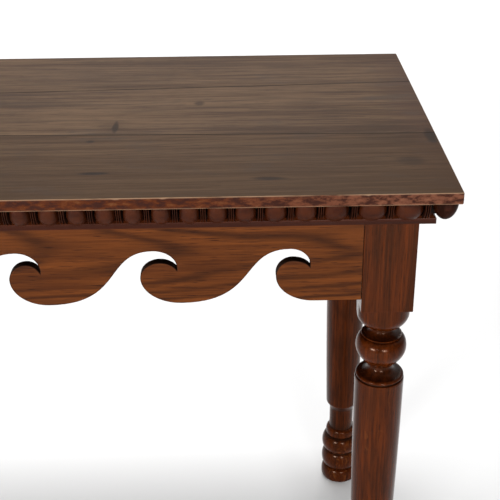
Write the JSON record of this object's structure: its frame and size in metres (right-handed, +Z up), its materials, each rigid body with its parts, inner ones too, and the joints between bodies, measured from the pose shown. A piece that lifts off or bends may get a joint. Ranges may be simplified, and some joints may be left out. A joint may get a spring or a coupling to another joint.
{
  "type": "communion table",
  "caption": "Rectangular oak table with a plank top, a carved egg moulding, wave-cut long aprons and turned legs on ringed feet.",
  "frame": {"origin": "on the floor, under the middle of the top", "axes": "+X along the length to the right seen from the front, +Y towards the back, +Z up"},
  "size_m": [1.524, 0.636, 0.914],
  "materials": {
    "top_oak": "worn, weathered oak planks, satin",
    "moulding_oak": "dark stained carved oak, waxed",
    "apron_oak": "reddish stained oak, waxed",
    "leg_oak": "dark polished turned oak",
    "frame_wood": "bare secondary wood",
    "screw_steel": "dull aged steel"
  },
  "bodies": {
    "root": {"top_board_front": "top_oak", "top_board_middle": "top_oak", "top_board_rear": "top_oak", "tongue_front": "frame_wood", "tongue_rear": "frame_wood", "moulding_front": "moulding_oak", "moulding_back": "moulding_oak", "moulding_right": "moulding_oak", "moulding_left": "moulding_oak", "leg_front_right": "leg_oak", "leg_back_right": "leg_oak", "leg_back_left": "leg_oak", "leg_front_left": "leg_oak", "apron_front": "apron_oak", "apron_back": "apron_oak", "apron_right": "apron_oak", "apron_left": "apron_oak", "cross_bearer_left": "frame_wood", "cross_bearer_right": "frame_wood", "button_front_left": "frame_wood", "button_front_middle": "frame_wood", "button_front_right": "frame_wood", "button_back_left": "frame_wood", "button_back_middle": "frame_wood", "button_back_right": "frame_wood", "button_left_end": "frame_wood", "button_right_end": "frame_wood", "screw_button_front_left": "screw_steel", "screw_button_front_middle": "screw_steel", "screw_button_front_right": "screw_steel", "screw_button_back_left": "screw_steel", "screw_button_back_middle": "screw_steel", "screw_button_back_right": "screw_steel", "screw_button_left_end": "screw_steel", "screw_button_right_end": "screw_steel", "screw_bearer_left_front": "screw_steel", "screw_bearer_left_middle": "screw_steel", "screw_bearer_left_rear": "screw_steel", "screw_bearer_right_front": "screw_steel", "screw_bearer_right_middle": "screw_steel", "screw_bearer_right_rear": "screw_steel"}
  },
  "joints": []
}
